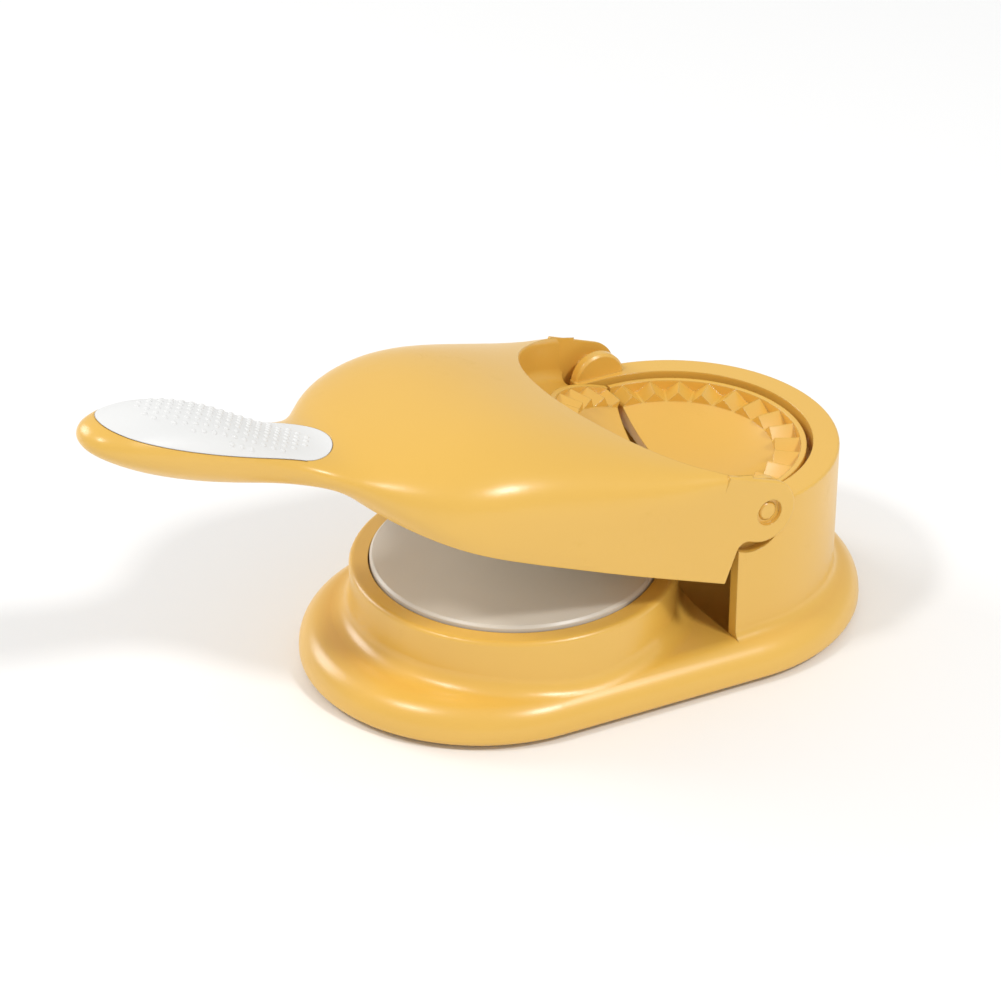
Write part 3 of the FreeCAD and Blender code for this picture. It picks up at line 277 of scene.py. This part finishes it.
def screwSteel(look):
    # Plated steel: dull patches in the colour and fine marks in the relief
    material, wire = opened("screwSteel")
    place = objectPlace(wire)
    marks = noise(wire, place, look["marks"], look["markDetail"])
    patch = noise(wire, place, look["patches"], look["patchDetail"])
    bump = wire.node("ShaderNodeBump", None,
                     {"Strength": 1.0, "Distance": look["relief"], "Height": marks})
    shader = wire.node("ShaderNodeBsdfPrincipled", None,
                       {"Base Color": blend(wire, patch, look["colour"], look["dull"]), "Metallic": 1.0,
                        "Roughness": look["roughness"] + swing(patch, look["roughnessSwing"]),
                        "Normal": bump})
    closed(wire, shader)
    return material


finishes = {
    "body_plastic": mouldedPlastic("bodyPlastic", bodyLook),
    "plate_plastic": mouldedPlastic("platePlastic", plateShadePaintedLook),
    "grip_plastic": mouldedPlastic("gripPlastic", gripLook),
    "foot_rubber": footRubber(rubberLook),
    "screw_steel": screwSteel(steelLook),
}
for node in nodes.values():
    for slot in node.material_slots:
        slot.material = finishes[slot.material.name.split(".")[0]]
print("materials:", ", ".join(finishes))


def addMesh(name, points, faces, material):
    # points is an array of places, faces a list of corner numbers
    mesh = bpy.data.meshes.new(name)
    mesh.from_pydata(points.tolist(), [], faces)
    mesh.polygons.foreach_set("use_smooth", np.ones(len(mesh.polygons), bool))
    mesh.materials.append(material)
    mesh.update()
    piece = bpy.data.objects.new(name, mesh)
    bpy.context.scene.collection.objects.link(piece)
    return piece


def nodePoints(name):
    # The corners of a node's mesh as rows of an array
    vertices = nodes[name].data.vertices
    flat = np.empty(3 * len(vertices))
    vertices.foreach_get("co", flat)
    return flat.reshape(-1, 3)


def armAxes():
    # The arm's own fore and up directions at rest, from the angle that closes it
    lift = -math.radians(hinge["range_deg"][0])
    fore = np.array((-math.cos(lift), 0.0, math.sin(lift)))
    up = np.array((math.sin(lift), 0.0, math.cos(lift)))
    return fore, up


def ringFaces(sides, rings):
    # Quads between rings of corners that follow one another, and triangles from the last ring to one pole
    here = np.arange(sides)
    after = (here + 1) % sides
    band = np.stack([here, after, after + sides, here + sides], axis=1)
    walls = np.concatenate([band + sides * level for level in range(rings - 1)])
    last = sides * (rings - 1)
    cap = np.stack([here + last, after + last, np.full(sides, last + sides)], axis=1)
    return walls, cap


def repeated(faces, stride, count):
    # The same faces for count copies of a shape that has stride corners
    return (faces[None] + stride * np.arange(count)[:, None, None]).reshape(-1, faces.shape[1]).tolist()


# Raised dots on the grip: staggered rows inside a leaf-shaped patch along the middle of the pad
dots = {
    "pitch": 0.0033,
    "rowPitch": 0.0027,
    "rows": 6,
    "startShare": 0.09,
    "endShare": 0.86,
    "leafShare": 0.86,
    "leafPower": 0.42,
    "radius": 0.00085,
    "height": 0.00040,
    "sink": 0.00015,
    "sides": 12,
    "levelShares": (0.0, 0.0, 0.30, 0.60, 0.82),
}


def dotPlaces():
    # Lattice points in the pad's plan, kept where the distance from the middle line is under a power of
    # the sine of the way along, and thrown down on the pad along the arm's up direction
    fore, up = armAxes()
    corners = nodePoints("grip_pad")
    reach = corners @ fore
    rear, length = reach.min(), np.ptp(reach)
    count = int(length / dots["pitch"])
    row, step = np.meshgrid(np.arange(-dots["rows"], dots["rows"] + 1), np.arange(count))
    along = (step + 0.5 * (row % 2)) / count
    side = row * dots["rowPitch"]
    leaf = (along - dots["startShare"]) / (dots["endShare"] - dots["startShare"])
    swell = np.sin(math.pi * np.clip(leaf, 0, 1)) ** dots["leafPower"]
    widest = np.abs(corners[:, 1]).max() * dots["leafShare"]
    kept = (leaf > 0) & (leaf < 1) & (np.abs(side) < widest * swell)
    top = (corners @ up).max() + dots["radius"]
    starts = (rear + along[kept] * length)[:, None] * fore + top * up
    starts[:, 1] += side[kept]
    tree = BVHTree.FromObject(nodes["grip_pad"], bpy.context.evaluated_depsgraph_get())
    hits = [tree.ray_cast(Vector(start), Vector(-up)) for start in starts]
    found = [hit for hit in hits if hit[0] is not None]
    return np.array([hit[0] for hit in found]), np.array([hit[1] for hit in found])


def addDots():
    # Each dot is an arc turned round its surface normal: rings at radius times cosine and height times
    # sine, closed by a pole, with its lowest ring sunk in the pad
    places, normals = dotPlaces()
    sides = dots["sides"]
    turns = np.linspace(0, 2 * math.pi, sides, endpoint=False)
    rise = np.array(dots["levelShares"]) * math.pi / 2
    lift = dots["height"] * np.sin(rise)
    lift[0] = -dots["sink"]
    out = np.cross(normals, [0.0, 1.0, 0.0])
    out /= np.linalg.norm(out, axis=1)[:, None]
    across = np.cross(normals, out)
    spoke = np.cos(turns)[:, None] * out[:, None, :] + np.sin(turns)[:, None] * across[:, None, :]
    rings = (places[:, None, None, :] + normals[:, None, None, :] * lift[:, None, None]
             + spoke[:, None] * (dots["radius"] * np.cos(rise))[:, None, None])
    poles = places + normals * dots["height"]
    points = np.concatenate([rings.reshape(len(places), -1, 3), poles[:, None]], axis=1)
    walls, cap = ringFaces(sides, len(rise))
    stride = points.shape[1]
    faces = repeated(walls, stride, len(places)) + repeated(cap, stride, len(places))
    piece = addMesh("grip_dots", points.reshape(-1, 3), faces, finishes["grip_plastic"])
    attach(piece, "arm")
    print("grip dots:", len(places))


addDots()


# Screws: pan heads with a cross recess on threaded shanks, in place of the plain ones
screws = {
    "groups": {
        "base_plate_screws": "base",
        "lower_plate_screws": "base",
        "fixed_mould_screws": "base",
        "arm_cover_screws": "arm",
        "upper_plate_screws": "arm",
        "moving_mould_screws": "arm",
    },
    "headRadius": 0.0020,
    "headHeight": 0.0012,
    "headRound": 0.00045,
    "rimRings": 4,
    "crown": 0.00015,
    "shankRadius": 0.0010,
    "slotHalfShare": 0.17,
    "slotReachShare": 0.66,
    "slotWallShare": 0.03,
    "slotDepth": 0.00070,
    "slotTaper": 0.45,
    "pitch": 0.0008,
    "threadDepth": 0.00022,
    "ringsPerTurn": 4,
    "tipLength": 0.0008,
    "tipShare": 0.35,
    "turnStep": 2.4,
    "roomShare": 3.0,
}


def crossFace():
    # The head's outer face: a square grid pressed into a disc, x times the root of one less half y
    # squared, sunk where a grid line lies in either arm of the cross, the less the further out
    half, reach, wall = screws["slotHalfShare"], screws["slotReachShare"], screws["slotWallShare"]
    right = np.array([half, half + wall, (half + reach) / 2, reach, reach + wall, (1 + reach) / 2, 1.0])
    lines = np.concatenate([-right[::-1], [0.0], right])
    u, v = np.meshgrid(lines, lines)
    x, y = u * np.sqrt(1 - v * v / 2), v * np.sqrt(1 - u * u / 2)
    narrow, long = np.minimum(np.abs(u), np.abs(v)), np.maximum(np.abs(u), np.abs(v))
    sunk = (narrow <= half) & (long <= reach)
    recess = sunk * screws["slotDepth"] * (1 - screws["slotTaper"] * long / reach)
    depth = screws["crown"] * (x * x + y * y) + recess
    radius = screws["headRadius"] - screws["headRound"]
    points = np.stack([x * radius, y * radius, depth], axis=-1)
    number = np.arange(u.size).reshape(u.shape)
    corners = [number[:-1, :-1], number[1:, :-1], number[1:, 1:], number[:-1, 1:]]
    faces = np.stack(corners, axis=-1).reshape(-1, 4)
    border = np.concatenate([number[0, :-1], number[:-1, -1], number[-1, :0:-1], number[:0:-1, 0]])
    return points.reshape(-1, 3), faces, border


def screwShape(length):
    # The face, then rings round it: a rounded rim, the head's side and underside, and a shank whose
    # radius falls by a zigzag of the height over the pitch less the turn, drawn in to a point at the tip
    face, faceQuads, border = crossFace()
    turns = np.arctan2(face[border, 1], face[border, 0])
    curl = np.linspace(0, math.pi / 2, screws["rimRings"])
    soft, head = screws["headRound"], screws["headHeight"]
    rim = np.stack([screws["headRadius"] - soft + soft * np.sin(curl),
                    screws["crown"] + soft * (1 - np.cos(curl))], axis=1)
    under = [(screws["headRadius"], head), (screws["shankRadius"], head)]
    rims = np.concatenate([rim, under])[:, :, None] * np.ones(len(turns))
    count = int(length / screws["pitch"] * screws["ringsPerTurn"])
    rise = np.linspace(head, head + length - screws["tipLength"], count)[1:, None]
    wave = rise / screws["pitch"] - turns / (2 * math.pi)
    groove = np.abs(2 * (wave - np.floor(wave + 0.5)))
    shank = np.stack([screws["shankRadius"] - screws["threadDepth"] * groove, rise + 0 * turns], axis=1)
    point = [[screws["shankRadius"] * screws["tipShare"]], [head + length]]
    tip = np.array([point]) * np.ones(len(turns))
    rings = np.concatenate([rims, shank, tip])
    tube = np.stack([rings[:, 0] * np.cos(turns), rings[:, 0] * np.sin(turns), rings[:, 1]], axis=-1)
    points = np.concatenate([face, tube[1:].reshape(-1, 3), [[0.0, 0.0, head + length]]])
    walls, cap = ringFaces(len(turns), len(rings))
    number = np.concatenate([border, np.arange(len(face), len(points))])
    return points, np.concatenate([faceQuads, number[walls]]), number[cap]


def screwPlaces(name, up):
    # Corners of a group fall apart into screws by their distance in plan. The head is where they stand
    # further out than the shank, and the shank's way is from the head to the far end.
    corners = nodePoints(name)
    height = corners @ up
    plan = corners - height[:, None] * up
    left = np.ones(len(corners), bool)
    between = (screws["headRadius"] + screws["shankRadius"]) / 2
    places = []
    while left.any():
        mine = np.linalg.norm(plan - plan[left][0], axis=1) < screws["roomShare"] * screws["headRadius"]
        left &= ~mine
        middle = (plan[mine].min(axis=0) + plan[mine].max(axis=0)) / 2
        wide = np.linalg.norm(plan[mine] - middle, axis=1) > between
        tall, head = height[mine], height[mine][wide]
        way = 1.0 if tall.max() - head.max() > head.min() - tall.min() else -1.0
        start = head.min() if way > 0 else head.max()
        places.append((middle + start * up, way * up, np.ptp(tall) - screws["headHeight"]))
    return places


def addScrews():
    total = 0
    for name, body in screws["groups"].items():
        up = armAxes()[1] if body == "arm" else np.array((0.0, 0.0, 1.0))
        places = screwPlaces(name, up)
        shape, walls, cap = screwShape(places[0][2])
        points = []
        for index, (start, way, _) in enumerate(places):
            turn = screws["turnStep"] * (total + index)
            side = np.cross([0.0, 1.0, 0.0], way)
            first = math.cos(turn) * side + math.sin(turn) * np.cross(way, side)
            points.append(start + shape @ np.stack([first, np.cross(way, first), way]))
        faces = repeated(walls, len(shape), len(places)) + repeated(cap, len(shape), len(places))
        label = name.replace("_screws", "_cross_screws")
        piece = addMesh(label, np.concatenate(points), faces, finishes["screw_steel"])
        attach(piece, body)
        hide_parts(name)
        total += len(places)
    print("screws:", total)


addScrews()


# Studio: a pale floor, white surroundings and soft lamps, each by bearing, height and size
floorLook = {
    "size": 6.0,
    "colour": (0.93, 0.93, 0.925, 1.0),
    "roughness": 0.6,
    "roughnessSwing": 0.1,
    "clouds": 3.0,
    "cloudDetail": 2.0,
}
lamps = [
    {"name": "keyLamp", "azimuth": 20.0, "elevation": 49.0, "distance": 2.4, "size": 0.34, "power": 21.5},
    {"name": "sideLamp", "azimuth": -88.0, "elevation": 54.0, "distance": 2.4, "size": 0.34, "power": 13.5},
    {"name": "backLamp", "azimuth": -150.0, "elevation": 24.0, "distance": 2.4, "size": 1.1, "power": 18.0},
]
surround = {"colour": (1.0, 1.0, 1.0, 1.0), "strength": 0.60}


def addFloor():
    half = floorLook["size"] / 2
    corners = np.array([[-half, -half, 0.0], [half, -half, 0.0], [half, half, 0.0], [-half, half, 0.0]])
    material, wire = opened("paleFloor")
    cloud = noise(wire, objectPlace(wire), floorLook["clouds"], floorLook["cloudDetail"])
    gloss = floorLook["roughness"] + swing(cloud, floorLook["roughnessSwing"])
    shader = wire.node("ShaderNodeBsdfPrincipled", None,
                       {"Base Color": floorLook["colour"], "Roughness": gloss})
    closed(wire, shader)
    floor = addMesh("paleFloor", corners, [[0, 1, 2, 3]], material)


def addLights():
    target = Vector(view["target"])
    for lamp in lamps:
        light = bpy.data.lights.new(lamp["name"], "AREA")
        light.shape = "DISK"
        light.size = lamp["size"]
        light.energy = lamp["power"]
        holder = bpy.data.objects.new(lamp["name"], light)
        bpy.context.scene.collection.objects.link(holder)
        place = onSphere(math.radians(lamp["azimuth"]), math.radians(lamp["elevation"]), lamp["distance"])
        aim(holder, target + place, target)
    world = bpy.data.worlds.new("whiteRoom")
    world.use_nodes = True
    backdrop = world.node_tree.nodes["Background"]
    backdrop.inputs["Color"].default_value = surround["colour"]
    backdrop.inputs["Strength"].default_value = surround["strength"]
    bpy.context.scene.world = world


addFloor()
addLights()
bpy.context.scene.view_settings.view_transform = "Standard"
print("studio ready")
